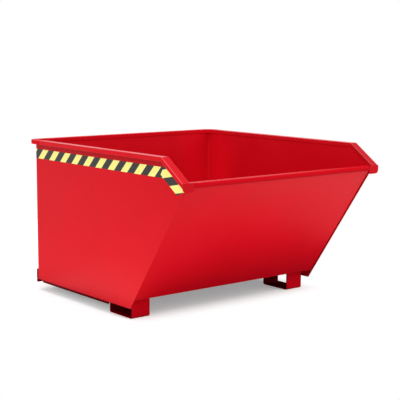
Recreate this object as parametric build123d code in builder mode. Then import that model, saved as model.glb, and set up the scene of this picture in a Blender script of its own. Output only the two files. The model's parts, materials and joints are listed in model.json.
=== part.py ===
from build123d import *
from math import hypot
import os

# Tipping hopper: X across, front towards -Y, Z up from the ground. Sizes in millimetres.

# Trough shell
body_width = 1104
sheet = 3
height = 756
back_y = 550
rim_run = 1077
reach = 1220
lip_height = 658
skirt_run = 801
skirt_height = 56
floor_height = 100
front_inset = 4
front_lap = 3
wall_bend = 10

# Rim of rectangular tube, most of it outside the panels
rim_width = 38
rim_height = 20
rim_wall = 2
rim_corner = 3
rim_overhang = 32
rim_bend = 65
rim_leg = 60
end_plate = 2
end_width = 59
end_depth = 38
end_round = 18

# Hazard strips below the rim
strip_drop = 46
strip_width = 46
strip_lap = 10
strip_bias = 32
strip_film = 0.5

# Front feet, folded from flat steel
foot_inset = 28
foot_width = 98
foot_run = 776
foot_depth = 176
foot_plate = 6
foot_bend = 10

# Channel that stiffens the floor between the feet
stiffener_length = 820
stiffener_width = 60
stiffener_depth = 18
stiffener_run = 665
stiffener_bend = 5

# Pivot shaft, and the hinge parts that turn on it
pivot_run = 540
pivot_height = 66
shaft_diameter = 25
shaft_length = 1044
shaft_chamfer = 2
running_clearance = 0.05
bush_diameter = 36
bush_length = 37
bush_x = 477.5
lug_x = 477
lug_thickness = 12
lug_radius = 26
lug_root = 100
lug_root_shift = 20
doubler = 6
doubler_width = 84
doubler_length = 150
doubler_corner = 12
doubler_x = 463
doubler_shift = 30
collar_diameter = 40
collar_length = 12
collar_gap = 0.5

# Base frame: fork pockets
pocket_width = 190
pocket_height = 90
pocket_wall = 6
pocket_x = 270
pocket_run = 485
heel_reach = 120
heel_cut = 30
heel_round = 30
fork_stop = 8

# Base frame: rails, rear plate, cross tubes and pivot brackets
rail_outer_x = 519
rail_thickness = 10
rail_bottom = 38
rail_depth = 51
rail_nose = 33.5
rail_round = 23
rear_gap = 8
rear_plate = 10
rear_plate_width = 1092
rear_plate_bottom = 43
rear_plate_top = 104
tube_width = 50
tube_depth = 35
tube_wall = 4
tube_bottom = 45
tube_run = 454
bracket_thickness = 10
bracket_radius = 28
bracket_inset = 15
bracket_root = 70
bracket_root_height = 51

# Rubber rest pads on the pockets
pad_width = 100
pad_length = 60
pad_gap = 0.3
pad_corner = 8
pad_runs = (45, 425)

# Heel pins behind the forks
pin_diameter = 20
pin_clearance = 0.1
pin_run = 100
pin_height = 45
pin_overhang = 10
pin_reach = 28
pin_bend = 18
pin_handle = 37
pin_chamfer = 2

# Latch on the back panel
latch_run = 32
latch_height = 330
backing_width = 120
backing_height = 120
backing = 6
backing_corner = 10
ear_thickness = 8
ear_gap = 18
ear_radius = 18
ear_root = 60
lever_thickness = 10
lever_boss = 20
bolt_diameter = 16
head_across = 24
head_thickness = 10
nut_thickness = 13
bolt_end = 3
washer_diameter = 30
washer_gap = 0.3
handle_run = 56
handle_height = 190
handle_diameter = 16
handle_length = 184
grip_diameter = 26
grip_length = 72
grip_chamfer = 3

# Catch on the rear plate, and the hook that goes under its bar
catch_run = 42
catch_height = 74
catch_diameter = 16
catch_gap = 52
catch_thickness = 8
catch_radius = 16
catch_root = 48
hook_gap = 3
hook_shank = 32
hook_depth = 19
hook_tip = 6
hook_reach = 6
shank_top = 112

# Thin root line of the plates that end in a round eye
root_line = 1

# Places worked out from the sizes above
sides = ((-1, "left"), (1, "right"))
half_width = body_width / 2
inside_width = body_width - 2 * sheet
front_y = back_y - reach
front_lean = (reach - skirt_run) / (lip_height - skirt_height)
front_slant = hypot(1, front_lean)
slope_fall = (height - lip_height) / (reach - rim_run)
slope_length = hypot(reach - rim_run, height - lip_height)
slope_cosine = (reach - rim_run) / slope_length
slope_sine = (height - lip_height) / slope_length
rim_x = half_width + rim_overhang - rim_width / 2
rim_y = back_y + rim_overhang - rim_width / 2
rim_middle = height - rim_height / 2
bend_x = half_width - wall_bend
bend_y = back_y - wall_bend
pivot_y = back_y - pivot_run
pivot = (pivot_y, pivot_height)
doubler_bottom = floor_height - doubler
pocket_front = back_y - pocket_run
heel_y = back_y + heel_reach
rear_y = back_y + rear_gap
rail_inner_x = rail_outer_x - rail_thickness
latch_pivot = (back_y + latch_run, latch_height)
catch_centre = (back_y + catch_run, catch_height)


# Front edge of the side panels at a height
def front_edge(z):
    return front_y + (lip_height - z) * front_lean


# Point under the bend of the rim, on the line this far below the rim's top
def knee(depth):
    z = height - depth
    return (front_y + (z - lip_height + depth / slope_cosine) / slope_fall, z)


# Point where that line reaches the front edge
def nose(depth):
    down = depth / slope_cosine / (1 + front_lean * slope_fall)
    return (front_y + down * front_lean, lip_height - down)


# Plane across the hopper at a place along X, with Y and Z as its axes
def across_at(x):
    return Plane.YZ.offset(x)


# Plane along the hopper at a place along Y, with X and Z as its axes, facing the front
def along_at(y):
    return Plane.XZ.offset(-y)


# Hollow section of the rim, inside a sketch
def rim_section(across, up):
    with Locations((across, up)):
        RectangleRounded(rim_width, rim_height, rim_corner)
        Rectangle(rim_width - 2 * rim_wall, rim_height - 2 * rim_wall, mode=Mode.SUBTRACT)


# Plate cut to an outline across the hopper
def cut_plate(x, thickness, outline):
    with BuildPart() as plate:
        with BuildSketch(across_at(x)):
            with BuildLine():
                Polyline(*outline, close=True)
            make_face()
        extrude(amount=thickness)
    return plate


# Sheet along a side and bent round the rear corner, cut to an outline across the hopper
def bent_sheet(side, thickness, towards, outline):
    with BuildPart() as bent:
        with BuildSketch():
            with BuildLine():
                flat = Line((side * half_width, front_y), (side * half_width, bend_y))
                TangentArc(flat @ 1, (side * bend_x, back_y), tangent=flat % 1)
                offset(amount=thickness, side=towards)
            make_face()
        extrude(amount=height)
        with BuildSketch(across_at(side * bend_x)):
            with BuildLine():
                Polyline(*outline, close=True)
            make_face()
        extrude(amount=side * (wall_bend + thickness), mode=Mode.INTERSECT)
    return bent


# Plate folded to a U under the floor, open at both ends
def folded_channel(x, length, middle, width, bottom, plate, bend):
    front = middle - width / 2
    back = middle + width / 2
    with BuildPart() as channel:
        with BuildSketch(across_at(x)):
            with BuildLine():
                FilletPolyline(
                    (front, floor_height),
                    (front, bottom),
                    (back, bottom),
                    (back, floor_height),
                    radius=bend,
                )
                offset(amount=plate, side=Side.LEFT)
            make_face()
        extrude(amount=length / 2, both=True)
    return channel


# Plates that taper from a welded root to a round eye, one at each place along X
def eye_plates(places, thickness, root, root_size, eye, radius, bore):
    with BuildPart() as plates:
        for x in places:
            with BuildSketch(across_at(x)) as outline:
                with Locations(root):
                    Rectangle(*root_size)
                with Locations(eye):
                    Circle(radius)
                make_hull(outline.edges())
                with Locations(eye):
                    Circle(bore / 2, mode=Mode.SUBTRACT)
            extrude(amount=thickness / 2, both=True)
    return plates


# Round bar or sleeve along X, with its middle at x
def round_bar(x, length, centre, diameter, bore=0):
    with BuildPart() as bar:
        with BuildSketch(across_at(x)):
            with Locations(centre):
                Circle(diameter / 2)
                if bore:
                    Circle(bore / 2, mode=Mode.SUBTRACT)
        extrude(amount=length / 2, both=True)
    return bar


# Rectangular cross tube of the base, from one place along X to another
def cross_tube(start, end):
    with BuildPart() as tube:
        with BuildSketch(across_at(start)):
            with Locations((back_y - tube_run, tube_bottom + tube_depth / 2)):
                Rectangle(tube_width, tube_depth)
                Rectangle(
                    tube_width - 2 * tube_wall,
                    tube_depth - 2 * tube_wall,
                    mode=Mode.SUBTRACT,
                )
        extrude(amount=end - start)
    return tube


def save(piece, name):
    piece.part.label = name
    export_step(piece.part, f"parts/{name}.step")


os.makedirs("parts", exist_ok=True)

# Side panels, with the skirt below the floor and the rear end bent towards the back panel
behind = back_y + sheet
panel_outline = (
    (behind, skirt_height),
    (behind, height - rim_height),
    knee(rim_height),
    nose(rim_height),
    (front_edge(skirt_height), skirt_height),
)
inwards = {"left": Side.RIGHT, "right": Side.LEFT}
outwards = {"left": Side.LEFT, "right": Side.RIGHT}
for side, hand in sides:
    save(bent_sheet(side, sheet, inwards[hand], panel_outline), f"{hand}_side_panel")

# Back panel, between the bends of the side panels
with BuildPart() as back_panel:
    with BuildSketch(along_at(back_y)):
        with Locations((0, floor_height)):
            Rectangle(
                2 * bend_x,
                height - rim_height - floor_height,
                align=(Align.CENTER, Align.MIN),
            )
    extrude(amount=sheet)
save(back_panel, "back_panel")

# Floor plate, cut at the front to the slant of the front panel and rounded into the rear bends
panel_outside = front_inset * front_slant
panel_inside = (front_inset + sheet) * front_slant
floor_top = floor_height + sheet
floor_outline = (
    (back_y - sheet, floor_height),
    (back_y - sheet, floor_top),
    (front_edge(floor_top) + panel_inside, floor_top),
    (front_edge(floor_height) + panel_inside, floor_height),
)
with BuildPart() as floor_plate:
    add(cut_plate(-inside_width / 2, inside_width, floor_outline).part)
    fillet(floor_plate.edges().filter_by(Axis.Z), radius=wall_bend - sheet)
save(floor_plate, "floor_plate")

# Sloping front panel, from just below the floor up to the underside of the lip
lip_bottom = lip_height - rim_height
front_bottom = floor_height - front_lap
front_outline = (
    (front_edge(front_bottom) + panel_outside, front_bottom),
    (front_edge(front_bottom) + panel_inside, front_bottom),
    (front_edge(lip_bottom) + panel_inside, lip_bottom),
    (front_edge(lip_bottom) + panel_outside, lip_bottom),
)
save(cut_plate(-inside_width / 2, inside_width, front_outline), "front_panel")

# Rim along the back, bent round both rear corners
rim_joint = back_y + rim_overhang - rim_bend - rim_leg
with BuildPart() as back_rim:
    with BuildLine(Plane.XY.offset(rim_middle)) as rim_route:
        FilletPolyline(
            (-rim_x, rim_joint),
            (-rim_x, rim_y),
            (rim_x, rim_y),
            (rim_x, rim_joint),
            radius=rim_bend - rim_width / 2,
        )
    with BuildSketch(along_at(rim_joint)):
        rim_section(-rim_x, rim_middle)
    sweep(path=rim_route.line)
save(back_rim, "back_rim")

# Rim along each side: a level tube mitred to a sloping one, with an end plate rounded at one lower corner
slope_start = Vector(0, back_y - rim_run, height)
slope_along = Vector(0, rim_run - reach, lip_height - height).normalized()
mitre = Plane(slope_start, x_dir=(1, 0, 0), z_dir=slope_along - Vector(0, 1, 0))
tube_overlap = rim_width
end_top = lip_height + end_plate * slope_fall
end_x = rim_x + (rim_width - end_width) / 2
outer_end = {"left": 0, "right": -1}
for side, hand in sides:
    with BuildPart() as side_rim:
        with BuildSketch(along_at(rim_joint)):
            rim_section(side * rim_x, rim_middle)
        extrude(amount=rim_joint - slope_start.Y + tube_overlap)
        split(bisect_by=mitre, keep=Keep.BOTTOM)
    save(side_rim, f"{hand}_side_rim")

    with BuildPart() as slope_rim:
        start = slope_start - slope_along * tube_overlap
        with BuildSketch(Plane(start, x_dir=(1, 0, 0), z_dir=slope_along)):
            rim_section(side * rim_x, -rim_height / 2)
        extrude(amount=slope_length + 2 * tube_overlap)
        split(bisect_by=mitre, keep=Keep.TOP)
        split(bisect_by=along_at(front_y + end_plate), keep=Keep.BOTTOM)
    save(slope_rim, f"{hand}_slope_rim")

    with BuildPart() as rim_end:
        with BuildSketch(along_at(front_y + end_plate)) as end_outline:
            with Locations((side * end_x, end_top)):
                Rectangle(end_width, end_depth, align=(Align.CENTER, Align.MAX))
            low_corners = end_outline.vertices().group_by(Axis.Y)[0]
            fillet(low_corners.sort_by(Axis.X)[outer_end[hand]], radius=end_round)
        extrude(amount=end_plate)
    save(rim_end, f"{hand}_rim_end_plate")

# Front lip, between the sloping tubes and behind their end plates
with BuildPart() as front_lip:
    with BuildSketch(across_at(rim_width / 2 - rim_x)):
        rim_section(front_y + end_plate + rim_width / 2, lip_height - rim_height / 2)
    extrude(amount=2 * rim_x - rim_width)
save(front_lip, "front_lip")

# Hazard strips on each side: a level one round the rear bend, a sloping one with its front end on the bias
strip_end = strip_drop + strip_width
strip_knee = knee(strip_drop)
square_top = (strip_knee[0] + strip_lap * slope_cosine, strip_knee[1] + strip_lap * slope_sine)
square_low = (square_top[0] + strip_width * slope_sine, square_top[1] - strip_width * slope_cosine)
level_outline = (
    (behind, height - strip_drop),
    (strip_knee[0] + strip_lap / slope_cosine, height - strip_drop),
    square_low,
    knee(strip_end),
    (behind, height - strip_end),
)
strip_nose = nose(strip_end)
bias_low = (strip_nose[0] + strip_bias * slope_cosine, strip_nose[1] + strip_bias * slope_sine)
slope_outline = (square_top, nose(strip_drop), bias_low, square_low)
for side, hand in sides:
    save(bent_sheet(side, strip_film, outwards[hand], level_outline), f"{hand}_hazard_strip")
    save(cut_plate(side * half_width, side * strip_film, slope_outline), f"{hand}_slope_hazard_strip")

# Front feet, and the channel between them
foot_x = half_width - foot_inset - foot_width / 2
foot_y = back_y - foot_run + foot_depth / 2
for side, hand in sides:
    foot = folded_channel(side * foot_x, foot_width, foot_y, foot_depth, 0, foot_plate, foot_bend)
    save(foot, f"{hand}_front_foot")
stiffener = folded_channel(
    0,
    stiffener_length,
    back_y - stiffener_run,
    stiffener_width,
    floor_height - stiffener_depth,
    sheet,
    stiffener_bend,
)
save(stiffener, "floor_stiffener")

# Hinge under the floor: doubler, lug and bush on each side
lug_top = (pivot_y + lug_root_shift, doubler_bottom - root_line / 2)
bush_bore = shaft_diameter + 2 * running_clearance
for side, hand in sides:
    with BuildPart() as hinge_doubler:
        with BuildSketch(Plane.XY.offset(doubler_bottom)):
            with Locations((side * doubler_x, pivot_y + doubler_shift)):
                RectangleRounded(doubler_width, doubler_length, doubler_corner)
        extrude(amount=doubler)
    save(hinge_doubler, f"{hand}_hinge_doubler")

    lug = eye_plates(
        [side * lug_x],
        lug_thickness,
        lug_top,
        (lug_root, root_line),
        pivot,
        lug_radius,
        bush_diameter,
    )
    save(lug, f"{hand}_hinge_lug")
    bush = round_bar(side * bush_x, bush_length, pivot, bush_diameter, bush_bore)
    save(bush, f"{hand}_hinge_bush")

# Fork pockets: square tubes whose tops are open behind the rear plate, for the heels of the forks
pin_centre = (back_y + pin_run, pin_height)
pin_hole = pin_diameter + 2 * pin_clearance
for side, hand in sides:
    with BuildPart() as fork_pocket:
        inside = pocket_width - 2 * pocket_wall
        with BuildSketch(along_at(heel_y)):
            with Locations((side * pocket_x, pocket_height / 2)):
                Rectangle(pocket_width, pocket_height)
                Rectangle(inside, pocket_height - 2 * pocket_wall, mode=Mode.SUBTRACT)
        extrude(amount=heel_y - pocket_front)
        with BuildSketch(Plane.XY.offset(pocket_height)):
            with Locations((side * pocket_x, heel_y)):
                Rectangle(inside, heel_reach - heel_cut, align=(Align.CENTER, Align.MAX))
        extrude(amount=-pocket_wall, mode=Mode.SUBTRACT)
        rear_edges = fork_pocket.edges().filter_by(Axis.X).group_by(Axis.Y)[-1]
        fillet(rear_edges.group_by(Axis.Z)[-1], radius=heel_round)
        with BuildSketch(across_at(side * pocket_x)):
            with Locations(pin_centre):
                Circle(pin_hole / 2)
        extrude(amount=pocket_width / 2, both=True, mode=Mode.SUBTRACT)
    save(fork_pocket, f"{hand}_fork_pocket")

    with BuildPart() as stop:
        with BuildSketch(along_at(pocket_front)):
            with Locations((side * pocket_x, pocket_height / 2)):
                Rectangle(pocket_width, pocket_height)
        extrude(amount=fork_stop)
    save(stop, f"{hand}_fork_stop")

# Rear plate, notched over the pockets
with BuildPart() as rear:
    with BuildSketch(along_at(rear_y + rear_plate)):
        with Locations((0, rear_plate_bottom)):
            Rectangle(
                rear_plate_width,
                rear_plate_top - rear_plate_bottom,
                align=(Align.CENTER, Align.MIN),
            )
        with Locations((-pocket_x, pocket_height / 2), (pocket_x, pocket_height / 2)):
            Rectangle(pocket_width, pocket_height, mode=Mode.SUBTRACT)
    extrude(amount=rear_plate)
save(rear, "rear_plate")

# Side rails, which hold the shaft's ends and whose front ends stop the trough when it is tipped
rail_front = pivot_y - rail_nose
for side, hand in sides:
    with BuildPart() as rail:
        with BuildSketch(across_at(side * rail_outer_x)) as rail_outline:
            with Locations((rail_front, rail_bottom)):
                Rectangle(rear_y - rail_front, rail_depth, align=(Align.MIN, Align.MIN))
            fillet(rail_outline.vertices().group_by(Axis.X)[0].sort_by(Axis.Y)[-1], radius=rail_round)
            with Locations(pivot):
                Circle(shaft_diameter / 2, mode=Mode.SUBTRACT)
        extrude(amount=-side * rail_thickness)
    save(rail, f"{hand}_side_rail")

# Cross tubes between the pockets and out to the rails
pocket_inner_x = pocket_x - pocket_width / 2
pocket_outer_x = pocket_x + pocket_width / 2
save(cross_tube(-pocket_inner_x, pocket_inner_x), "centre_cross_tube")
for side, hand in sides:
    save(cross_tube(side * pocket_outer_x, side * rail_inner_x), f"{hand}_cross_tube")

# Pivot brackets on the fork stops
bracket_face = (pocket_front - fork_stop - root_line / 2, bracket_root_height)
for side, hand in sides:
    for place, x in (
        ("inner", pocket_inner_x + bracket_inset),
        ("outer", pocket_outer_x - bracket_inset),
    ):
        bracket = eye_plates(
            [side * x],
            bracket_thickness,
            bracket_face,
            (root_line, bracket_root),
            pivot,
            bracket_radius,
            shaft_diameter,
        )
        save(bracket, f"{hand}_{place}_pivot_bracket")

# Pivot shaft and its collars
with BuildPart() as shaft:
    with BuildSketch(across_at(0)):
        with Locations(pivot):
            Circle(shaft_diameter / 2)
    extrude(amount=shaft_length / 2, both=True)
    chamfer(shaft.edges().filter_by(GeomType.CIRCLE), length=shaft_chamfer)
save(shaft, "pivot_shaft")
collar_x = bush_x + bush_length / 2 + collar_gap + collar_length / 2
for side, hand in sides:
    collar = round_bar(side * collar_x, collar_length, pivot, collar_diameter, shaft_diameter)
    save(collar, f"{hand}_shaft_collar")

# Rubber pads that the trough's floor rests on
with BuildPart() as rest_pads:
    with BuildSketch(Plane.XY.offset(pocket_height)):
        for side, hand in sides:
            with Locations(*[(side * pocket_x, back_y - run) for run in pad_runs]):
                RectangleRounded(pad_width, pad_length, pad_corner)
    extrude(amount=floor_height - pad_gap - pocket_height)
save(rest_pads, "rest_pads")

# Catch: two ears on the rear plate and the bar between them
catch_x = (catch_gap + catch_thickness) / 2
catch_ears = eye_plates(
    [-catch_x, catch_x],
    catch_thickness,
    (rear_y + rear_plate + root_line / 2, catch_height),
    (root_line, catch_root),
    catch_centre,
    catch_radius,
    catch_diameter,
)
save(catch_ears, "catch_ears")
save(round_bar(0, catch_gap + 2 * catch_thickness, catch_centre, catch_diameter), "catch_bar")

# Latch bracket on the back panel: backing plate and two ears
with BuildPart() as backing_plate:
    with BuildSketch(along_at(back_y + backing)):
        with Locations((0, latch_height)):
            RectangleRounded(backing_width, backing_height, backing_corner)
    extrude(amount=backing)
save(backing_plate, "latch_backing_plate")
ear_x = (ear_gap + ear_thickness) / 2
latch_ears = eye_plates(
    [-ear_x, ear_x],
    ear_thickness,
    (back_y + backing + root_line / 2, latch_height),
    (root_line, ear_root),
    latch_pivot,
    ear_radius,
    bolt_diameter,
)
save(latch_ears, "latch_ears")

# Latch bolt, nut and washers
ear_outer_x = ear_x + ear_thickness / 2
with BuildPart() as latch_bolt:
    with BuildSketch(across_at(-ear_outer_x)):
        with Locations(latch_pivot):
            RegularPolygon(head_across / 2, 6, major_radius=False)
    extrude(amount=-head_thickness)
    with BuildSketch(across_at(-ear_outer_x)):
        with Locations(latch_pivot):
            Circle(bolt_diameter / 2)
    extrude(amount=2 * ear_outer_x + nut_thickness + bolt_end)
save(latch_bolt, "latch_bolt")

with BuildPart() as latch_nut:
    with BuildSketch(across_at(ear_outer_x)):
        with Locations(latch_pivot):
            RegularPolygon(head_across / 2, 6, major_radius=False)
            Circle(bolt_diameter / 2, mode=Mode.SUBTRACT)
    extrude(amount=nut_thickness)
save(latch_nut, "latch_nut")

washer_thickness = (ear_gap - lever_thickness) / 2 - washer_gap
with BuildPart() as latch_washers:
    for side, hand in sides:
        with BuildSketch(across_at(side * ear_gap / 2)):
            with Locations(latch_pivot):
                Circle(washer_diameter / 2)
                Circle(bolt_diameter / 2, mode=Mode.SUBTRACT)
        extrude(amount=-side * washer_thickness)
save(latch_washers, "latch_washers")

# Latch lever: a tapered arm down to a shank, with a hook under the catch bar
catch_y = catch_centre[0]
shank_front = catch_y + catch_diameter / 2 + hook_gap
shank_y = shank_front + hook_shank / 2
hook_top = catch_height - catch_diameter / 2 - hook_gap
hook_bottom = hook_top - hook_depth
handle_centre = (back_y + handle_run, handle_height)
with BuildPart() as latch_lever:
    with BuildSketch(across_at(0)) as lever_outline:
        with Locations(latch_pivot):
            Circle(lever_boss)
        with Locations((shank_y, shank_top)):
            Circle(hook_shank / 2)
        make_hull(lever_outline.edges())
        with Locations((shank_y, hook_bottom)):
            Rectangle(hook_shank, shank_top - hook_bottom, align=(Align.CENTER, Align.MIN))
        with BuildLine():
            Polyline(
                (shank_y, hook_top),
                (catch_y - hook_reach, hook_top),
                (catch_y - hook_reach, hook_top - hook_tip),
                (shank_front, hook_bottom),
                (shank_y, hook_bottom),
                close=True,
            )
        make_face()
        with Locations(latch_pivot):
            Circle(bolt_diameter / 2 + running_clearance, mode=Mode.SUBTRACT)
        with Locations(handle_centre):
            Circle(handle_diameter / 2, mode=Mode.SUBTRACT)
    extrude(amount=lever_thickness / 2, both=True)
save(latch_lever, "latch_lever")

# Handle bar through the lever, with a grip on each end
save(round_bar(0, handle_length, handle_centre, handle_diameter), "latch_handle_bar")
grip_x = (handle_length - grip_length) / 2
for side, hand in sides:
    with BuildPart() as grip:
        with BuildSketch(across_at(side * grip_x)):
            with Locations(handle_centre):
                Circle(grip_diameter / 2)
        extrude(amount=grip_length / 2, both=True)
        chamfer(grip.edges().filter_by(GeomType.CIRCLE), length=grip_chamfer)
        with BuildSketch(across_at(side * grip_x)):
            with Locations(handle_centre):
                Circle(handle_diameter / 2)
        extrude(amount=grip_length / 2, both=True, mode=Mode.SUBTRACT)
    save(grip, f"{hand}_latch_grip")

# Heel pins through the pockets' cheeks, with the outer end bent down as a handle
pin_start = pocket_inner_x - pin_overhang
pin_end = pocket_outer_x + pin_reach
for side, hand in sides:
    with BuildPart() as heel_pin:
        with BuildLine(along_at(pin_centre[0])) as pin_route:
            FilletPolyline(
                (side * pin_start, pin_height),
                (side * pin_end, pin_height),
                (side * pin_end, pin_height - pin_handle),
                radius=pin_bend,
            )
        with BuildSketch(across_at(side * pin_start)):
            with Locations(pin_centre):
                Circle(pin_diameter / 2)
        sweep(path=pin_route.line)
        pin_faces = heel_pin.faces().filter_by(GeomType.PLANE)
        chamfer(pin_faces.edges(), length=pin_chamfer)
    save(heel_pin, f"{hand}_heel_pin")
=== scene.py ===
import json
from math import cos, pi, radians

import bmesh
import bpy
from mathutils import Matrix, Vector


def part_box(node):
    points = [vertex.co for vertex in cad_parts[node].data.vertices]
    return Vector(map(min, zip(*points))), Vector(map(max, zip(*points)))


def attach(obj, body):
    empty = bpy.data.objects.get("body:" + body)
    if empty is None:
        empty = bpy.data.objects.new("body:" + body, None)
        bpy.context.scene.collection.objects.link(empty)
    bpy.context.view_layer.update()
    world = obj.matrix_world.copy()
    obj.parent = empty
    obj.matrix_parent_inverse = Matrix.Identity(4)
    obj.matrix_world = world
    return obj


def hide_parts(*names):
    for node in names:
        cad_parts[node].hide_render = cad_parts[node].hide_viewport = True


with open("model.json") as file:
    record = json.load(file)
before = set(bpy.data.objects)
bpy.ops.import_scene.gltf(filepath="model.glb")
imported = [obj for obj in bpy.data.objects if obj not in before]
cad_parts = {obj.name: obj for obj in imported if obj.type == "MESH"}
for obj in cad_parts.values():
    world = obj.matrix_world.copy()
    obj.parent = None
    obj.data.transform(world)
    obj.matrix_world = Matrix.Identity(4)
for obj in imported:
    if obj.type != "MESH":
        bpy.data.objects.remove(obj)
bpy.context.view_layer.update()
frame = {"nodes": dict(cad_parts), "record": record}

# Red tipping hopper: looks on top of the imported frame. Lengths in the settings are millimetres,
# apart from the studio's and the camera's, which are metres.
mm = 0.001
nodes = frame["nodes"]
sides = ((-1, "left"), (1, "right"))
print("frame loaded:", len(nodes), "nodes")


# sRGB hex to the linear colour that shaders take
def linear(hexText):
    shares = [int(hexText[i:i + 2], 16) / 255 for i in (1, 3, 5)]
    return [s / 12.92 if s <= 0.04045 else ((s + 0.055) / 1.055) ** 2.4 for s in shares] + [1.0]


# one node: a value is set on its socket, and a socket is linked to it
def addNode(tree, kind, sockets=None, **settings):
    node = tree.nodes.new("ShaderNode" + kind)
    for name, value in settings.items():
        setattr(node, name, value)
    for key, value in (sockets or {}).items():
        if isinstance(value, bpy.types.NodeSocket):
            tree.links.new(value, node.inputs[key])
        else:
            node.inputs[key].default_value = value
    return node


def startMaterial(name):
    material = bpy.data.materials.new(name)
    material.use_nodes = True
    tree = material.node_tree
    place = addNode(tree, "TexCoord").outputs["Object"]
    return material, tree, tree.nodes["Principled BSDF"], place


# finishes

redCoat = {
    "deep": "#C60815",
    "bright": "#D00C1E",
    "cloudMm": 260,
    "cloudSpan": (0.3, 0.7),    # part of the cloud noise that the gloss follows
    "rough": (0.30, 0.42),
    "specular": 0.06,
    "peelMm": 6,                # real orange peel is 2 to 3 mm, drawn coarser so that it shows
    "peelDepthMm": 0.05,
    "peelStrength": 0.5,
    # dark red, laid on as painted shade and painted shadow, and as a darker tone on the base and the level
    # tubes' edges
    "darkening": "#65050A",
    # pale red, laid on as painted highlight
    "highlightTone": "#E35C64",
}


# Powder coat, sprayed dry and baked: one even colour with slow clouds of tone, satin gloss,
# and the faint orange peel that breaks up reflections. A dark red share darkens it, mostly as painted shade,
# and a pale share lays a painted highlight on it, each by a share of its own or where a mask says. A shine
# below 1 is a coat scuffed dull
def makeCoat(name, darkening=0.0, highlight=0.0, shine=1.0):
    coat = redCoat
    material, tree, surface, place = startMaterial(name)
    darkShare = darkening(tree, place) if callable(darkening) else darkening
    highlightShare = highlight(tree, place) if callable(highlight) else highlight
    cloud = addNode(tree, "TexNoise", {"Vector": place, "Scale": 1 / (coat["cloudMm"] * mm), "Detail": 3.0})
    peel = addNode(tree, "TexNoise", {"Vector": place, "Scale": 1 / (coat["peelMm"] * mm), "Detail": 1.5})
    tint = addNode(tree, "Mix", {0: cloud.outputs["Fac"], 6: linear(coat["deep"]),
                                 7: linear(coat["bright"])}, data_type="RGBA")
    lightened = addNode(tree, "Mix", {0: highlightShare, 6: tint.outputs[2],
                                 7: linear(coat["highlightTone"])}, data_type="RGBA")
    darkened = addNode(tree, "Mix", {0: darkShare, 6: lightened.outputs[2],
                                   7: linear(coat["darkening"])}, data_type="RGBA")
    first, last = coat["cloudSpan"]
    low, high = coat["rough"]
    rough = addNode(tree, "MapRange", {"Value": cloud.outputs["Fac"], "From Min": first, "From Max": last,
                                       "To Min": low, "To Max": high})
    bump = addNode(tree, "Bump", {"Height": peel.outputs["Fac"], "Strength": coat["peelStrength"],
                                  "Distance": coat["peelDepthMm"] * mm})
    tree.links.new(darkened.outputs[2], surface.inputs["Base Color"])
    tree.links.new(rough.outputs["Result"], surface.inputs["Roughness"])
    tree.links.new(bump.outputs["Normal"], surface.inputs["Normal"])
    surface.inputs["Specular IOR Level"].default_value = coat["specular"] * shine
    return material


hazardTape = {
    "yellow": "#F2EE84",
    "black": "#140A0A",
    "period": 101,
    "yellowShare": 0.49,
    "lean": 1.0,
    "grainMm": 2,
    "grainDepthMm": 0.05,
    "grainStrength": 0.25,
    "rough": (0.34, 0.5),
    "ior": 1.5,
    "level": {"along": (0, -1, 0), "across": (0, 0, 1), "start": (0, 500, 686)},
    "slope": {"along": (0, -0.825, -0.565), "across": (0, -0.565, 0.825), "start": (0, -481, 697)},
}


# Printed vinyl film: flat yellow and black bars with sharp edges, a little sheen and a fine grain
def makeTape(run):
    tape = hazardTape
    laid = tape[run]
    material, tree, surface, place = startMaterial("printed_vinyl_hazard_film_" + run)
    step = Vector(laid["along"]) - tape["lean"] * Vector(laid["across"])
    perPeriod = step / (tape["period"] * mm)
    startCount = perPeriod.dot(Vector(laid["start"]) * mm)
    count = addNode(tree, "VectorMath", {0: place, 1: perPeriod}, operation="DOT_PRODUCT")
    shifted = addNode(tree, "Math", {0: count.outputs["Value"], 1: -startCount}, operation="ADD")
    part = addNode(tree, "Math", {0: shifted.outputs[0]}, operation="FRACT")
    isBlack = addNode(tree, "Math", {0: part.outputs[0], 1: tape["yellowShare"]}, operation="GREATER_THAN")
    bars = addNode(tree, "Mix", {0: isBlack.outputs[0], 6: linear(tape["yellow"]),
                                 7: linear(tape["black"])}, data_type="RGBA")
    grain = addNode(tree, "TexNoise", {"Vector": place, "Scale": 1 / (tape["grainMm"] * mm), "Detail": 2.0})
    low, high = tape["rough"]
    rough = addNode(tree, "MapRange", {"Value": grain.outputs["Fac"], "To Min": low, "To Max": high})
    bump = addNode(tree, "Bump", {"Height": grain.outputs["Fac"], "Strength": tape["grainStrength"],
                                  "Distance": tape["grainDepthMm"] * mm})
    tree.links.new(bars.outputs[2], surface.inputs["Base Color"])
    tree.links.new(rough.outputs["Result"], surface.inputs["Roughness"])
    tree.links.new(bump.outputs["Normal"], surface.inputs["Normal"])
    surface.inputs["IOR"].default_value = tape["ior"]
    return material


metals = {
    # zinc plated and passivated steel: cool pale grey, softly mottled
    "zinc_plate": {"name": "zinc_plated_steel", "dark": "#9DA1A4", "light": "#C6CACC",
                   "sizeMm": (7, 7, 7), "rough": (0.28, 0.44), "depthMm": 0.03},
    # drawn bright bar: fine lines along its length
    "bright_steel": {"name": "drawn_bright_steel", "dark": "#8E8F91", "light": "#B9BABC",
                     "sizeMm": (90, 1.2, 1.2), "rough": (0.22, 0.34), "depthMm": 0.02},
    # turned bearing bronze: warm brown gold with tool rings round the axis
    "bronze": {"name": "turned_bearing_bronze", "dark": "#9A7140", "light": "#C39B60",
               "sizeMm": (0.9, 30, 30), "rough": (0.26, 0.4), "depthMm": 0.03},
}
metalRelief = {"span": (0.25, 0.75), "strength": 0.4}


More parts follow.
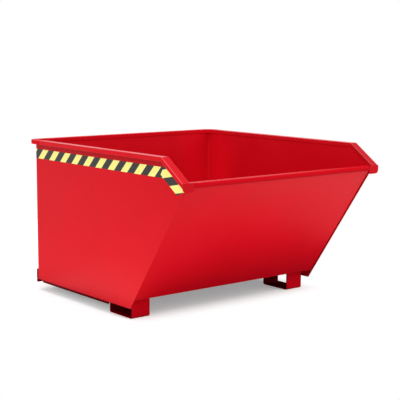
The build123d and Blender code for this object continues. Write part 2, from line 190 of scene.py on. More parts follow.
# Bare or plated metal: tone, gloss and a shallow relief from one stretched noise
def makeMetal(metal):
    material, tree, surface, place = startMaterial(metal["name"])
    stretch = addNode(tree, "Mapping", {"Vector": place, "Scale": [1 / (s * mm) for s in metal["sizeMm"]]})
    lines = addNode(tree, "TexNoise", {"Vector": stretch.outputs["Vector"], "Scale": 1.0, "Detail": 3.0})
    tint = addNode(tree, "Mix", {0: lines.outputs["Fac"], 6: linear(metal["dark"]),
                                 7: linear(metal["light"])}, data_type="RGBA")
    first, last = metalRelief["span"]
    low, high = metal["rough"]
    rough = addNode(tree, "MapRange", {"Value": lines.outputs["Fac"], "From Min": first, "From Max": last,
                                       "To Min": low, "To Max": high})
    bump = addNode(tree, "Bump", {"Height": lines.outputs["Fac"], "Strength": metalRelief["strength"],
                                  "Distance": metal["depthMm"] * mm})
    tree.links.new(tint.outputs[2], surface.inputs["Base Color"])
    tree.links.new(rough.outputs["Result"], surface.inputs["Roughness"])
    tree.links.new(bump.outputs["Normal"], surface.inputs["Normal"])
    surface.inputs["Metallic"].default_value = 1.0
    return material


rubber = {
    "dark": "#161616",
    "light": "#242424",
    "bloomMm": 30,
    "pitMm": 3,
    "pitDepthMm": 0.15,
    "pitStrength": 0.5,
    "rough": (0.62, 0.82),
}


# Moulded rubber: near black, dull, with the fine pitting of its mould and a grey bloom
def makeRubber():
    material, tree, surface, place = startMaterial("moulded_black_rubber")
    pits = addNode(tree, "TexNoise", {"Vector": place, "Scale": 1 / (rubber["pitMm"] * mm), "Detail": 4.0})
    bloom = addNode(tree, "TexNoise", {"Vector": place, "Scale": 1 / (rubber["bloomMm"] * mm), "Detail": 2.0})
    tint = addNode(tree, "Mix", {0: bloom.outputs["Fac"], 6: linear(rubber["dark"]),
                                 7: linear(rubber["light"])}, data_type="RGBA")
    low, high = rubber["rough"]
    rough = addNode(tree, "MapRange", {"Value": pits.outputs["Fac"], "To Min": low, "To Max": high})
    bump = addNode(tree, "Bump", {"Height": pits.outputs["Fac"], "Strength": rubber["pitStrength"],
                                  "Distance": rubber["pitDepthMm"] * mm})
    tree.links.new(tint.outputs[2], surface.inputs["Base Color"])
    tree.links.new(rough.outputs["Result"], surface.inputs["Roughness"])
    tree.links.new(bump.outputs["Normal"], surface.inputs["Normal"])
    return material


# which parts of the red coat get painted highlight, painted shade and painted shadow, which get a darker
# tone, by how much, and how glossy each is
coatMarks = {
    "topBand": (-0.2, 0.24),    # depths below a rim tube's top: its flat top
    "edgeBand": (0.24, 2.04),   # and its rounded edges
    "topHighlight": 0.6,              # painted highlight on the level tubes' flat tops
    # darker along the level tubes' rounded edges
    "edgeDarkening": 0.3,
    "edgeHighlight": 1.0,             # painted highlight on the sloping tubes' rounded edges
    "slopeShade": 0.25,          # painted shade on the right sloping tube
    "lipShade": 0.32,            # painted shade, growing to the lower edge of the lip
    "endShade": 0.2,             # painted shade on the end plates
    "rimShadow": 0.3,             # painted shadow on the outsides of the side panels, between rim and hazard strip
    "wallEdge": 1,              # height of their lower edge, painted in shade
    "wallSkin": 1,              # depth that counts as their outsides
    "footPlate": 6,             # thickness of the feet, which get painted shade inside
    # darker tone on the base
    "baseDarkening": 0.8,
    "seamShade": 0.7,            # welds that get painted shade and painted shadow
    "dullShine": 0.25,          # back tube and lip
    "baseShine": 0.35,
    "seamShine": 0.4,
    "footShine": 0.0,
}


# a share of colour between two depths below the tops of the rim tubes that face this way, used for painted
# highlight and for darker edges
def rimBand(up, depths, share):
    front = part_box("left_side_rim")[0].y
    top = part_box("left_side_rim")[1].z
    crest = Vector(up).dot((0, front, top))     # level and sloping tops meet there
    middle = crest - sum(depths) / 2 * mm
    half = (depths[1] - depths[0]) / 2 * mm

    def mask(tree, place):
        height = addNode(tree, "VectorMath", {0: place, 1: up}, operation="DOT_PRODUCT")
        inside = addNode(tree, "Math", {0: height.outputs["Value"], 1: middle, 2: half}, operation="COMPARE")
        part = addNode(tree, "Math", {0: inside.outputs[0], 1: share}, operation="MULTIPLY")
        return part.outputs[0]
    return mask


# 1 on the inner faces of the folded feet, which get painted shade, 0 on their outsides
def insideFeet(tree, place):
    low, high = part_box("left_front_foot")
    skin = coatMarks["footPlate"] / 2 * mm
    middle = (low.y + high.y) / 2
    half = (high.y - low.y) / 2 - skin
    axes = addNode(tree, "SeparateXYZ", {"Vector": place})
    between = addNode(tree, "Math", {0: axes.outputs["Y"], 1: middle, 2: half}, operation="COMPARE")
    above = addNode(tree, "Math", {0: axes.outputs["Z"], 1: low.z + skin}, operation="GREATER_THAN")
    inside = addNode(tree, "Math", {0: between.outputs[0], 1: above.outputs[0]}, operation="MULTIPLY")
    return inside.outputs[0]


# painted shade, 1 along the lower edge of the side panels, and a faint painted shadow on their outsides just
# under the rim
def shadedWall(tree, place):
    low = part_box("left_side_panel")[0]
    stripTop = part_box("left_hazard_strip")[1].z
    edgeTop = low.z + coatMarks["wallEdge"] * mm
    skin = -low.x - coatMarks["wallSkin"] * mm
    axes = addNode(tree, "SeparateXYZ", {"Vector": place})
    edge = addNode(tree, "Math", {0: axes.outputs["Z"], 1: edgeTop}, operation="LESS_THAN")
    above = addNode(tree, "Math", {0: axes.outputs["Z"], 1: stripTop}, operation="GREATER_THAN")
    away = addNode(tree, "Math", {0: axes.outputs["X"]}, operation="ABSOLUTE")
    outside = addNode(tree, "Math", {0: away.outputs[0], 1: skin}, operation="GREATER_THAN")
    band = addNode(tree, "Math", {0: above.outputs[0], 1: outside.outputs[0]}, operation="MULTIPLY")
    faint = addNode(tree, "Math", {0: band.outputs[0], 1: coatMarks["rimShadow"]}, operation="MULTIPLY")
    shade = addNode(tree, "Math", {0: edge.outputs[0], 1: faint.outputs[0]}, operation="MAXIMUM")
    return shade.outputs[0]


# painted shade that grows from the top of the lip to its lower edge
def shadedLip(tree, place):
    low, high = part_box("front_lip")
    axes = addNode(tree, "SeparateXYZ", {"Vector": place})
    shade = addNode(tree, "MapRange", {"Value": axes.outputs["Z"], "From Min": high.z, "From Max": low.z,
                                      "To Max": coatMarks["lipShade"]})
    return shade.outputs["Result"]


finishes = {slot: makeMetal(metal) for slot, metal in metals.items()}
finishes["black_rubber"] = makeRubber()
finishes["hazard_film"] = makeTape("level")
finishes["red_coating"] = makeCoat("red_powder_coat_on_sheet_steel")
slopeTape = makeTape("slope")
levelUp = hazardTape["level"]["across"]
slopeUp = hazardTape["slope"]["across"]
# darker along the level tubes' rounded edges, with a painted highlight on their flat tops and on the sloping
# tubes' rounded edges
darkerEdges = rimBand(levelUp, coatMarks["edgeBand"], coatMarks["edgeDarkening"])
highlightedTops = rimBand(levelUp, coatMarks["topBand"], coatMarks["topHighlight"])
highlightedEdges = rimBand(slopeUp, coatMarks["edgeBand"], coatMarks["edgeHighlight"])
rimCoat = makeCoat("red_powder_coat_with_painted_highlight_on_level_tube", darkerEdges, highlightedTops)
slopeCoat = makeCoat("red_powder_coat_with_painted_highlight_on_sloping_tube", highlight=highlightedEdges)
# the right sloping tube also gets painted shade
shadedSlopeCoat = makeCoat("soiled_red_powder_coat_on_sloping_tube", coatMarks["slopeShade"], highlightedEdges)
backCoat = makeCoat("dulled_red_powder_coat_on_back_tube", shine=coatMarks["dullShine"])
# painted shade on the lip, end plates, side panels, feet insides and rim welds, and painted shadow under the
# rim
lipCoat = makeCoat("dulled_red_powder_coat_with_painted_shade_on_lip", shadedLip, shine=coatMarks["dullShine"])
endCoat = makeCoat("red_powder_coat_with_painted_shade_on_end_plates", coatMarks["endShade"])
wallCoat = makeCoat("red_powder_coat_soiled_edge", shadedWall)
footCoat = makeCoat("red_powder_coat_with_painted_shade_inside_feet", insideFeet, shine=coatMarks["footShine"])
rimSeamCoat = makeCoat("red_powder_coat_with_painted_shade_on_rim_welds", coatMarks["seamShade"], shine=coatMarks["seamShine"])
# a darker tone for the base, its welds and its edges
darkerBaseCoat = makeCoat("darker_red_powder_coat_on_base_steel", coatMarks["baseDarkening"], shine=coatMarks["baseShine"])

baseNodes = frame["record"]["behaviour"]["bodies"]["base"]
for part in frame["record"]["subparts"]:
    node = nodes[part["node"]]
    node.data.materials.clear()
    node.data.materials.append(finishes[part["material_slot"]])
    if part["material_slot"] == "red_coating" and part["node"] in baseNodes:
        node.data.materials[0] = darkerBaseCoat
for _, hand in sides:
    nodes[hand + "_slope_hazard_strip"].data.materials[0] = slopeTape
    nodes[hand + "_front_foot"].data.materials[0] = footCoat
    nodes[hand + "_side_panel"].data.materials[0] = wallCoat
    nodes[hand + "_side_rim"].data.materials[0] = rimCoat
    nodes[hand + "_rim_end_plate"].data.materials[0] = endCoat
nodes["left_slope_rim"].data.materials[0] = slopeCoat
nodes["right_slope_rim"].data.materials[0] = shadedSlopeCoat
nodes["back_rim"].data.materials[0] = backCoat
nodes["front_lip"].data.materials[0] = lipCoat
print("finishes made")


# a finished bmesh becomes a piece that rides on a body
def addPiece(bm, name, body, slot, finish=None):
    mesh = bpy.data.meshes.new(name)
    bm.to_mesh(mesh)
    bm.free()
    mesh.materials.append(finish or finishes[slot])
    piece = bpy.data.objects.new(name, mesh)
    bpy.context.scene.collection.objects.link(piece)
    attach(piece, body)
    return piece


# corners of a node's box in millimetres
def span(name):
    return [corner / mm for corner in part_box(name)]


# weld seams

bead = {
    "radius": 3,
    "pitch": 4,
    "ripple": 0.84,
    "corners": 7,
    "off": 1,           # from the plates that it joins to its middle
}


# one rippled bead from point to point, laid into a corner
def layBead(seams, start, end):
    bm = bmesh.new()
    start = Vector(start) * mm
    run = Vector(end) * mm - start
    steps = max(4, round(run.length / (bead["pitch"] * mm)))
    stand = Matrix.Translation(start) @ run.to_track_quat("Z", "Y").to_matrix().to_4x4()
    bmesh.ops.create_circle(bm, cap_ends=True, segments=bead["corners"], radius=bead["radius"] * mm,
                            matrix=stand)
    bm.faces.ensure_lookup_table()
    cap = bm.faces[0]
    for step in range(steps):
        grown = bmesh.ops.extrude_face_region(bm, geom=[cap])["geom"]
        ring = [part for part in grown if isinstance(part, bmesh.types.BMVert)]
        cap = [part for part in grown if isinstance(part, bmesh.types.BMFace)][0]
        bmesh.ops.translate(bm, verts=ring, vec=run / steps)
        size = bead["ripple"] if step % 2 == 0 else 1 / bead["ripple"]
        middle = Matrix.Translation(-(start + run * (step + 1) / steps))
        bmesh.ops.scale(bm, verts=ring, vec=(size, size, size), space=middle)
    bmesh.ops.recalc_face_normals(bm, faces=bm.faces)
    mesh = bpy.data.meshes.new("bead")
    bm.to_mesh(mesh)
    bm.free()
    seams.from_mesh(mesh)
    bpy.data.meshes.remove(mesh)


# how far the trough's seams stop short of corners and ends
gap = {
    "levelRim": 14,
    "slopeRim": 10,
    "lipBack": 6,
    "lipUp": 4,
    "rearCorner": 8,
    "rearBend": 1.6,        # the bead is let in that far between back panel and bend
    "foot": 3,
    "doublerX": 14,
    "doublerY": 15,
    "lug": 3,
    "latchPlate": 12,
    "latchEar": 3,
}
off = bead["off"]
panelLow, panelHigh = span("front_panel")
wallLow = span("left_side_panel")[0]
backLow, backHigh = span("back_panel")
floorLow, floorHigh = span("floor_plate")
lipLow = span("front_lip")[0]
rimLow, rimHigh = span("left_side_rim")
mountLow, mountHigh = span("latch_backing_plate")
earLow, earHigh = span("latch_ears")
levelShare = 1.22       # the leaning front panel's thickness measured level, in sheets
sheet = floorHigh.z - floorLow.z
panelDepth = sheet * levelShare
lean = (panelHigh.y - panelLow.y - panelDepth) / (panelHigh.z - panelLow.z)
wallX = -wallLow.x
cornerX = wallX - sheet - off
seamZ = floorHigh.z + off
underFloor = floorLow.z - off
underRim = rimLow.z - off
underLip = lipLow.z - off


# depth of the front panel's outer face at a height
def faceAt(z):
    return panelLow.y + (panelHigh.z - z) * lean


troughSeams = bmesh.new()
rimSeams = bmesh.new()
edgeSeam = bmesh.new()
inner = faceAt(seamZ) + panelDepth + off
behind = backHigh.y + off
mountY = mountLow.y + off
earY = mountHigh.y + off
layBead(rimSeams, (backLow.x, behind, underRim), (backHigh.x, behind, underRim))
layBead(rimSeams, (-cornerX, panelLow.y, underLip), (cornerX, panelLow.y, underLip))
# floor to back panel and to front panel
layBead(troughSeams, (backLow.x, backLow.y - off, seamZ), (backHigh.x, backLow.y - off, seamZ))
layBead(troughSeams, (-cornerX, inner, seamZ), (cornerX, inner, seamZ))
for side, hand in sides:
    footLow, footHigh = span(hand + "_front_foot")
    padLow, padHigh = span(hand + "_hinge_doubler")
    lugLow, lugHigh = span(hand + "_hinge_lug")
    rimX = side * (wallX + off)
    wallIn = side * cornerX
    # level and sloping rim to side panel
    layBead(rimSeams, (rimX, rimHigh.y, underRim), (rimX, rimLow.y + gap["levelRim"], underRim))
    layBead(rimSeams, (rimX, rimLow.y + gap["slopeRim"], underRim - off),
            (rimX, panelLow.y + gap["lipBack"], lipLow.z + gap["lipUp"]))
    # floor to side panel
    layBead(troughSeams, (wallIn, backLow.y - gap["rearCorner"], seamZ), (wallIn, inner, seamZ))
    # front panel to side panel, inside and outside
    for out in (panelDepth + 2 * off, -off):
        seams = edgeSeam if side > 0 and out < 0 else troughSeams
        layBead(seams, (wallIn, faceAt(seamZ) + out, seamZ),
                (wallIn, faceAt(lipLow.z) + out, underLip - off))
    # back panel to the side panel's bend
    bendX = side * backHigh.x
    bendY = backHigh.y - gap["rearBend"]
    layBead(troughSeams, (bendX, bendY, seamZ), (bendX, bendY, underRim - 2 * off))
    # foot, hinge doubler and hinge lug
    for y in (footLow.y - off, footHigh.y + off):
        layBead(troughSeams, (footLow.x + gap["foot"], y, underFloor),
                (footHigh.x - gap["foot"], y, underFloor))
    for y in (padLow.y - off, padHigh.y + off):
        layBead(troughSeams, (padLow.x + gap["doublerX"], y, underFloor),
                (padHigh.x - gap["doublerX"], y, underFloor))
    for x in (padLow.x - off, padHigh.x + off):
        layBead(troughSeams, (x, padLow.y + gap["doublerY"], underFloor),
                (x, padHigh.y - gap["doublerY"], underFloor))
    for x in (lugLow.x - off, lugHigh.x + off):
        layBead(troughSeams, (x, lugLow.y + gap["lug"], padLow.z - off / 2),
                (x, lugHigh.y - gap["lug"], padLow.z - off / 2))
    # latch backing plate and latch ears
    mountX = side * (mountHigh.x + off)
    earX = side * (earHigh.x + off)
    layBead(troughSeams, (mountX, mountY, mountLow.z + gap["latchPlate"]),
            (mountX, mountY, mountHigh.z - gap["latchPlate"]))
    layBead(troughSeams, (earX, earY, earLow.z + gap["latchEar"]), (earX, earY, earHigh.z - gap["latchEar"]))
for z in (mountLow.z - off, mountHigh.z + off):
    layBead(troughSeams, (mountLow.x + gap["latchPlate"], mountY, z),
            (mountHigh.x - gap["latchPlate"], mountY, z))
addPiece(troughSeams, "trough_weld_seams", "trough", "red_coating")
# painted shade along the right front edge and painted shadow under the rim, on these welds
addPiece(edgeSeam, "right_front_weld_seam", "trough", "red_coating", rimSeamCoat)
addPiece(rimSeams, "rim_weld_seams", "trough", "red_coating", rimSeamCoat)

# how far the base's upright seams stop short of the ends of the plates
baseGap = {"plate": 3, "stop": 4, "tube": 2, "bracketFoot": 4, "bracketTop": 12, "catch": 2, "pocket": 5}
pocketLow, pocketHigh = span("right_fork_pocket")
plateLow, plateHigh = span("rear_plate")
railLow, railHigh = span("right_side_rail")
tubeLow, tubeHigh = span("right_cross_tube")
insideLow, insideHigh = span("right_inner_pivot_bracket")
outsideLow, outsideHigh = span("right_outer_pivot_bracket")
catchLow, catchHigh = span("catch_ears")
frontY = plateLow.y - off
rearY = plateHigh.y + off
overPocket = pocketHigh.z + off
plateZ = (plateLow.z + baseGap["plate"], pocketHigh.z - baseGap["plate"])
stopZ = (pocketLow.z + baseGap["stop"], pocketHigh.z - baseGap["stop"])
tubeZ = (tubeLow.z + baseGap["tube"], tubeHigh.z - baseGap["tube"])
bracketZ = (insideLow.z + baseGap["bracketFoot"], insideHigh.z - baseGap["bracketTop"])
catchZ = (catchLow.z + baseGap["catch"], catchHigh.z - baseGap["catch"])
pocketX = (pocketLow.x + baseGap["pocket"], pocketHigh.x - baseGap["pocket"])
baseSeams = bmesh.new()


# an upright bead on the base
def layUpright(x, y, heights):
    layBead(baseSeams, (x, y, heights[0]), (x, y, heights[1]))


for side, _ in sides:
    for x in (pocketLow.x - off, pocketHigh.x + off):
        for y in (frontY, rearY):
            layUpright(side * x, y, plateZ)                     # pocket to rear plate
        layUpright(side * x, pocketLow.y, stopZ)                # pocket to stop
        for y in (tubeLow.y - off, tubeHigh.y + off):
            layUpright(side * x, y, tubeZ)                      # cross tube to pocket
    for y in (tubeLow.y - off, tubeHigh.y + off):
        layUpright(side * (railLow.x - off), y, tubeZ)          # cross tube to rail
    # pocket to rear plate, over the top
    layBead(baseSeams, (side * pocketX[0], rearY, overPocket), (side * pocketX[1], rearY, overPocket))
    for x in (railLow.x - off, railHigh.x + off):
        layUpright(side * x, frontY, plateZ)                    # rail to rear plate
    for x in (insideLow.x - off, insideHigh.x + off, outsideLow.x - off, outsideHigh.x + off):
        layUpright(side * x, insideHigh.y - off, bracketZ)      # pivot bracket to stop
    layUpright(side * (catchHigh.x + off), rearY, catchZ)       # catch ear to rear plate
addPiece(baseSeams, "base_weld_seams", "base", "red_coating", darkerBaseCoat)
print("weld seams laid")


# rounded lower edges of the base frame, which show as a dark line below the side panels

baseEdge = {"railDrop": 7, "plateDrop": 5, "lap": 1, "inset": 0.2, "round": 1.2, "clear": 1}


# a bar under a box, let into it a little
def addBar(bm, low, high, drop):
    inset = Vector((baseEdge["inset"], baseEdge["inset"], 0))
    bottom = low + inset - Vector((0, 0, drop))
    top = Vector((high.x, high.y, low.z + baseEdge["lap"])) - inset
    verts = bmesh.ops.create_cube(bm, size=1)["verts"]
    bmesh.ops.scale(bm, verts=verts, vec=(top - bottom) * mm)
    bmesh.ops.translate(bm, verts=verts, vec=(bottom + top) / 2 * mm)
    edges = {edge for vert in verts for edge in vert.link_edges}
    lower = [edge for edge in edges if all(vert.co.z < low.z * mm for vert in edge.verts)]
    bmesh.ops.bevel(bm, geom=lower, offset=baseEdge["round"] * mm, affect="EDGES", segments=3, profile=0.5,
                    material=-1)


for side, hand in sides:
    bm = bmesh.new()
    addBar(bm, *span(hand + "_side_rail"), baseEdge["railDrop"])
    # the rear plate outside the fork pocket
    nearX, farX = sorted((side * (pocketHigh.x + baseEdge["clear"]), side * plateHigh.x))
    addBar(bm, Vector((nearX, plateLow.y, plateLow.z)), Vector((farX, plateHigh.y, plateHigh.z)),
           baseEdge["plateDrop"])
    addPiece(bm, hand + "_base_edge", "base", "red_coating", darkerBaseCoat)
print("base edges made")


# latch fasteners, turned from an upright pose to lie along the bolt

bolt = {
    "chamfer": 1.4,
    "shank": 16,
    "core": 7,              # radius inside the thread
    "coreSides": 32,
    "endRound": 1,
    "thread": 5,
    "pitch": 2,
    "turnSteps": 20,
    "rootShare": 0.86,      # thread profile: depth in shares of the radius
    "crestAt": 0.45,        # and heights in shares of the pitch
    "footAt": 0.9,
}
boltLow, boltHigh = span("latch_bolt")
nutLow, nutHigh = span("latch_nut")


def layAlongX(bm):
    middle = (boltLow + boltHigh) / 2
    place = Matrix.Translation(Vector((0, middle.y, middle.z)) * mm) @ Matrix.Rotation(pi / 2, 4, "Y")
    bmesh.ops.transform(bm, matrix=place, verts=bm.verts)


# hexagon prism with both rims chamfered
def addHexagon(bm, low, high):
    rim = (boltHigh.z - boltLow.z) / 2 / cos(pi / 6) * mm
    stand = Matrix.Translation((0, 0, (low + high) / 2 * mm))
    made = bmesh.ops.create_cone(bm, cap_ends=True, segments=6, radius1=rim, radius2=rim,
                                 depth=(high - low) * mm, matrix=stand)
    edges = {edge for vert in made["verts"] for edge in vert.link_edges}
    rims = [edge for edge in edges if abs(edge.verts[0].co.z - edge.verts[1].co.z) < 1e-6]
    bmesh.ops.bevel(bm, geom=rims, offset=bolt["chamfer"] * mm, affect="EDGES", segments=2, profile=0.5,
                    material=-1)


# screw thread: a notched profile spun up the shank, closed by the shank inside it
def addThread(bm, low, high):
    radius = bolt["shank"] / 2 * mm
    pitch = bolt["pitch"] * mm
    turns = int((high - low) / bolt["pitch"])
    steps = bolt["turnSteps"] * turns
    root = bm.verts.new((radius * bolt["rootShare"], 0, low * mm))
    crest = bm.verts.new((radius, 0, low * mm + pitch * bolt["crestAt"]))
    foot = bm.verts.new((radius * bolt["rootShare"], 0, low * mm + pitch * bolt["footAt"]))
    edges = [bm.edges.new((root, crest)), bm.edges.new((crest, foot))]
    bmesh.ops.spin(bm, geom=[root, crest, foot] + edges, cent=(0, 0, 0), axis=(0, 0, 1),
                   dvec=(0, 0, pitch / bolt["turnSteps"]), angle=2 * pi * turns, steps=steps,
                   use_merge=False)
    bmesh.ops.recalc_face_normals(bm, faces=bm.faces)


bm = bmesh.new()
addHexagon(bm, boltLow.x, -nutLow.x)
coreRadius = bolt["core"] * mm
coreStand = Matrix.Translation((0, 0, (boltHigh.x - nutLow.x) / 2 * mm))
core = bmesh.ops.create_cone(bm, cap_ends=True, segments=bolt["coreSides"], radius1=coreRadius,
                             radius2=coreRadius, depth=(boltHigh.x + nutLow.x) * mm, matrix=coreStand)
coreEdges = {edge for vert in core["verts"] for edge in vert.link_edges}
endRim = [edge for edge in coreEdges if all(vert.co.z > (boltHigh.x - 0.01) * mm for vert in edge.verts)]
bmesh.ops.bevel(bm, geom=endRim, offset=bolt["endRound"] * mm, affect="EDGES", segments=2, profile=0.5,
                material=-1)
threadEnd = boltHigh.x - bolt["endRound"]
addThread(bm, threadEnd - bolt["thread"], threadEnd)
layAlongX(bm)
latchBolt = addPiece(bm, "latch_hex_bolt", "trough", "zinc_plate")
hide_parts("latch_bolt")

bm = bmesh.new()
addHexagon(bm, nutLow.x, nutHigh.x)
layAlongX(bm)
latchNut = addPiece(bm, "latch_hex_nut", "trough", "zinc_plate")
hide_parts("latch_nut")
print("latch fasteners made")


# rubber grips on the latch handle

grip = {
    "bore": 8,
    "collar": 9,            # plain length at each end
    "shoulder": 2,          # slope between collar and ribs
    "round": 2.5,           # rounded ends
    "roundIn": 0.8,
    "roundDown": 0.9,
    "ribs": 8,
    "rib": 1.2,             # height of a rib
    "groove": 0.6,          # the grooves dip a little further
    "crown": 0.2,           # the ribs stay a little below the collars
    "rise": (0.3, 0.5, 0.8),    # where a rib starts to rise, is up and ends, in shares of its length
    "steps": 40,
    "merge": 0.02,
}


# ribbed sleeve: half a section, spun round the handle bar
def makeGrip(hand):
    low, high = span(hand + "_latch_grip")
    middle = (low + high) / 2 * mm
    half = (high.x - low.x) / 2
    full = (high.y - low.y) / 2
    neck = half - grip["collar"]
    valley = full - grip["rib"]
    crown = full - grip["crown"]
    width = neck * 2 / grip["ribs"]
    rise, up, end = grip["rise"]
    section = [(-half, grip["bore"]), (-half, full - grip["round"]),
               (-half + grip["roundIn"], full - grip["roundDown"]), (-half + grip["round"], full),
               (-neck - grip["shoulder"], full)]
    for rib in range(grip["ribs"]):
        start = -neck + width * rib
        section += [(start, valley - grip["groove"]), (start + width * rise, valley),
                    (start + width * up, crown), (start + width * end, crown)]
    section += [(neck, valley - grip["groove"]), (neck + grip["shoulder"], full),
                (half - grip["round"], full), (half - grip["roundIn"], full - grip["roundDown"]),
                (half, full - grip["round"]), (half, grip["bore"])]
    bm = bmesh.new()
    verts = [bm.verts.new((x * mm, radius * mm, 0)) for x, radius in section]
    edges = [bm.edges.new(pair) for pair in zip(verts, verts[1:])]
    bmesh.ops.spin(bm, geom=verts + edges, cent=(0, 0, 0), axis=(1, 0, 0), angle=2 * pi,
                   steps=grip["steps"], use_merge=True)
    bmesh.ops.remove_doubles(bm, verts=bm.verts, dist=grip["merge"] * mm)
    bmesh.ops.recalc_face_normals(bm, faces=bm.faces)
    bmesh.ops.translate(bm, verts=bm.verts, vec=middle)
    for face in bm.faces:
        face.smooth = True
    piece = addPiece(bm, hand + "_ribbed_grip", "latch", "black_rubber")
    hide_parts(hand + "_latch_grip")


for _, hand in sides:
    makeGrip(hand)
print("grips made")


# studio: white floor that keeps the shadow, white surround, broad soft lamps

hopperMiddle = (0, -0.1, 0.35)
broad = (5.0, 3.5)
studio = {
    "floorHalf": 40,
    "floor": "#F4F4F4",
    "floorRough": 0.9,
    "lift": 0.29,               # white that only the camera sees, in the shadow
    "whiteY": (-0.16, -0.35),   # the floor turns plain white to the camera in front of the feet
    "whiteX": (0.53, 0.62),     # and beside the hopper
    "mat": {"middle": (0.25, 0.1, 0), "reach": (1.05, 0.75, 1), "edge": (0.75, 1.15), "tone": "#303030"},
    "surround": 0.78,           # light from all round
    "lamps": {
        "left_softbox": {"place": (-6.0, -1.6, 4.4), "aim": hopperMiddle, "size": broad, "power": 112},
        "top_softbox": {"place": (-1.5, -1.0, 7.0), "aim": hopperMiddle, "size": broad, "power": 150},
        "right_softbox": {"place": (3.5, -5.5, 3.5), "aim": hopperMiddle, "size": broad, "power": 110},
        # weak lamps for the light that a pale floor and the trough's own walls throw back
        "left_floor_glow": {"place": (-0.78, 0.05, 0.02), "aim": (-0.78, 0.05, 1),
                            "size": (0.25, 1.1), "power": 1.35},
        "inner_glow": {"place": (0.42, 0.42, 0.45), "aim": (0.55, 0.55, 0.45),
                       "size": (0.1, 0.5), "power": 0.12},
        "front_floor_glow": {"place": (0.45, -0.8, 0.02), "aim": (0.4, -0.42, 0.16),
                             "size": (1.7, 0.35), "power": 2.3},
    },
}


def addLamp(name, lamp):
    light = bpy.data.lights.new(name, "AREA")
    light.shape = "RECTANGLE"
    light.size, light.size_y = lamp["size"]
    light.energy = lamp["power"]
    ray = Vector(lamp["aim"]) - Vector(lamp["place"])
    holder = bpy.data.objects.new(name, light)
    holder.location = lamp["place"]
    holder.rotation_euler = ray.to_track_quat("-Z", "Y").to_euler()
    holder.visible_camera = False
    bpy.context.scene.collection.objects.link(holder)


# 1 for rays from the camera, a share for reflections and 0 for bounced light
def showsWhite(tree, rays, share):
    mirrored = addNode(tree, "Math", {0: rays.outputs["Is Glossy Ray"],
                                      1: rays.outputs["Is Transmission Ray"]}, operation="MAXIMUM")
    part = addNode(tree, "Math", {0: mirrored.outputs[0], 1: share}, operation="MULTIPLY")
    either = addNode(tree, "Math", {0: rays.outputs["Is Camera Ray"], 1: part.outputs[0]},
                     operation="MAXIMUM")
    return either.outputs[0]


bm = bmesh.new()
bmesh.ops.create_grid(bm, x_segments=1, y_segments=1, size=studio["floorHalf"])
mesh = bpy.data.meshes.new("studio_floor")
bm.to_mesh(mesh)
bm.free()
floor = bpy.data.objects.new("studio_floor", mesh)
bpy.context.scene.collection.objects.link(floor)
material, tree, surface, place = startMaterial("white_painted_floor")
surface.inputs["Roughness"].default_value = studio["floorRough"]
surface.inputs["Specular IOR Level"].default_value = 0.0
rays = addNode(tree, "LightPath")
isCamera = rays.outputs["Is Camera Ray"]
# a dark mat that the camera does not see, so that the front's lower edge and the feet's insides stay deep
mat = studio["mat"]
offset = addNode(tree, "VectorMath", {0: place, 1: mat["middle"]}, operation="SUBTRACT")
scaled = addNode(tree, "VectorMath", {0: offset.outputs[0], 1: mat["reach"]}, operation="DIVIDE")
matDistance = addNode(tree, "VectorMath", {0: scaled.outputs[0]}, operation="LENGTH")
offMat = addNode(tree, "MapRange", {"Value": matDistance.outputs["Value"], "From Min": mat["edge"][0],
                                    "From Max": mat["edge"][1]}, interpolation_type="SMOOTHSTEP")
pale = addNode(tree, "Math", {0: offMat.outputs["Result"], 1: isCamera}, operation="MAXIMUM")
paint = addNode(tree, "Mix", {0: pale.outputs[0], 6: linear(mat["tone"]), 7: linear(studio["floor"])},
                data_type="RGBA")
tree.links.new(paint.outputs[2], surface.inputs["Base Color"])
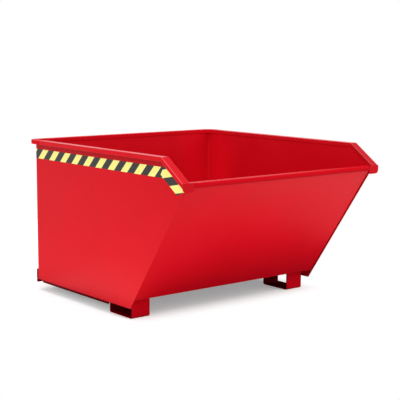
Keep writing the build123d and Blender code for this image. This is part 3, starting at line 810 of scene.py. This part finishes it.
# plain white to the camera clear of the hopper's shadow
axes = addNode(tree, "SeparateXYZ", {"Vector": place})
sideways = addNode(tree, "Math", {0: axes.outputs["X"]}, operation="ABSOLUTE")
ahead = addNode(tree, "MapRange", {"Value": axes.outputs["Y"], "From Min": studio["whiteY"][0],
                                   "From Max": studio["whiteY"][1]}, interpolation_type="SMOOTHSTEP")
beside = addNode(tree, "MapRange", {"Value": sideways.outputs[0], "From Min": studio["whiteX"][0],
                                    "From Max": studio["whiteX"][1]}, interpolation_type="SMOOTHSTEP")
clear = addNode(tree, "Math", {0: ahead.outputs["Result"], 1: beside.outputs["Result"]},
                operation="MAXIMUM")
shows = showsWhite(tree, rays, offMat.outputs["Result"])
white = addNode(tree, "Math", {0: shows, 1: clear.outputs[0]}, operation="MULTIPLY")
lift = addNode(tree, "Math", {0: isCamera, 1: studio["lift"]}, operation="MULTIPLY")
glow = addNode(tree, "Emission", {"Strength": lift.outputs[0]})
both = addNode(tree, "AddShader", {0: surface.outputs["BSDF"], 1: glow.outputs["Emission"]})
plain = addNode(tree, "Emission", {"Strength": 1.0})
shown = addNode(tree, "MixShader", {0: white.outputs[0], 1: both.outputs["Shader"],
                                    2: plain.outputs["Emission"]})
tree.links.new(shown.outputs["Shader"], tree.nodes["Material Output"].inputs["Surface"])
mesh.materials.append(material)

world = bpy.data.worlds.new("white_surround")
bpy.context.scene.world = world
world.use_nodes = True
tree = world.node_tree
rays = addNode(tree, "LightPath")
shows = showsWhite(tree, rays, 1.0)
strength = addNode(tree, "Mix", {0: shows, 2: studio["surround"], 3: 1.0})
tree.nodes["Background"].inputs["Color"].default_value = (1, 1, 1, 1)
tree.links.new(strength.outputs[0], tree.nodes["Background"].inputs["Strength"])
for name, lamp in studio["lamps"].items():
    addLamp(name, lamp)

# camera at the photo's angle
view = {
    "place": (-3.2107, -4.0396, 1.2002),
    "yaw": 38.876,
    "pitch": 8.070,
    "roll": 0.217,
    "focalPixels": 1068.3,
    "imagePixels": 400,     # width of the square image
    "sensor": 36,           # millimetres
    "clipEnd": 200,
}
camera = bpy.data.cameras.new("photo_camera")
camera.sensor_width = view["sensor"]
camera.lens = view["focalPixels"] / view["imagePixels"] * camera.sensor_width
camera.clip_end = view["clipEnd"]
yawTurn = Matrix.Rotation(radians(-view["yaw"]), 3, "Z")
pitchTurn = Matrix.Rotation(radians(90 - view["pitch"]), 3, "X")
rollTurn = Matrix.Rotation(radians(view["roll"]), 3, "Z")
holder = bpy.data.objects.new("photo_camera", camera)
holder.location = view["place"]
holder.rotation_euler = (yawTurn @ pitchTurn @ rollTurn).to_euler()
bpy.context.scene.collection.objects.link(holder)
bpy.context.scene.camera = holder
bpy.context.scene.view_settings.view_transform = "Standard"
print("studio and camera set")
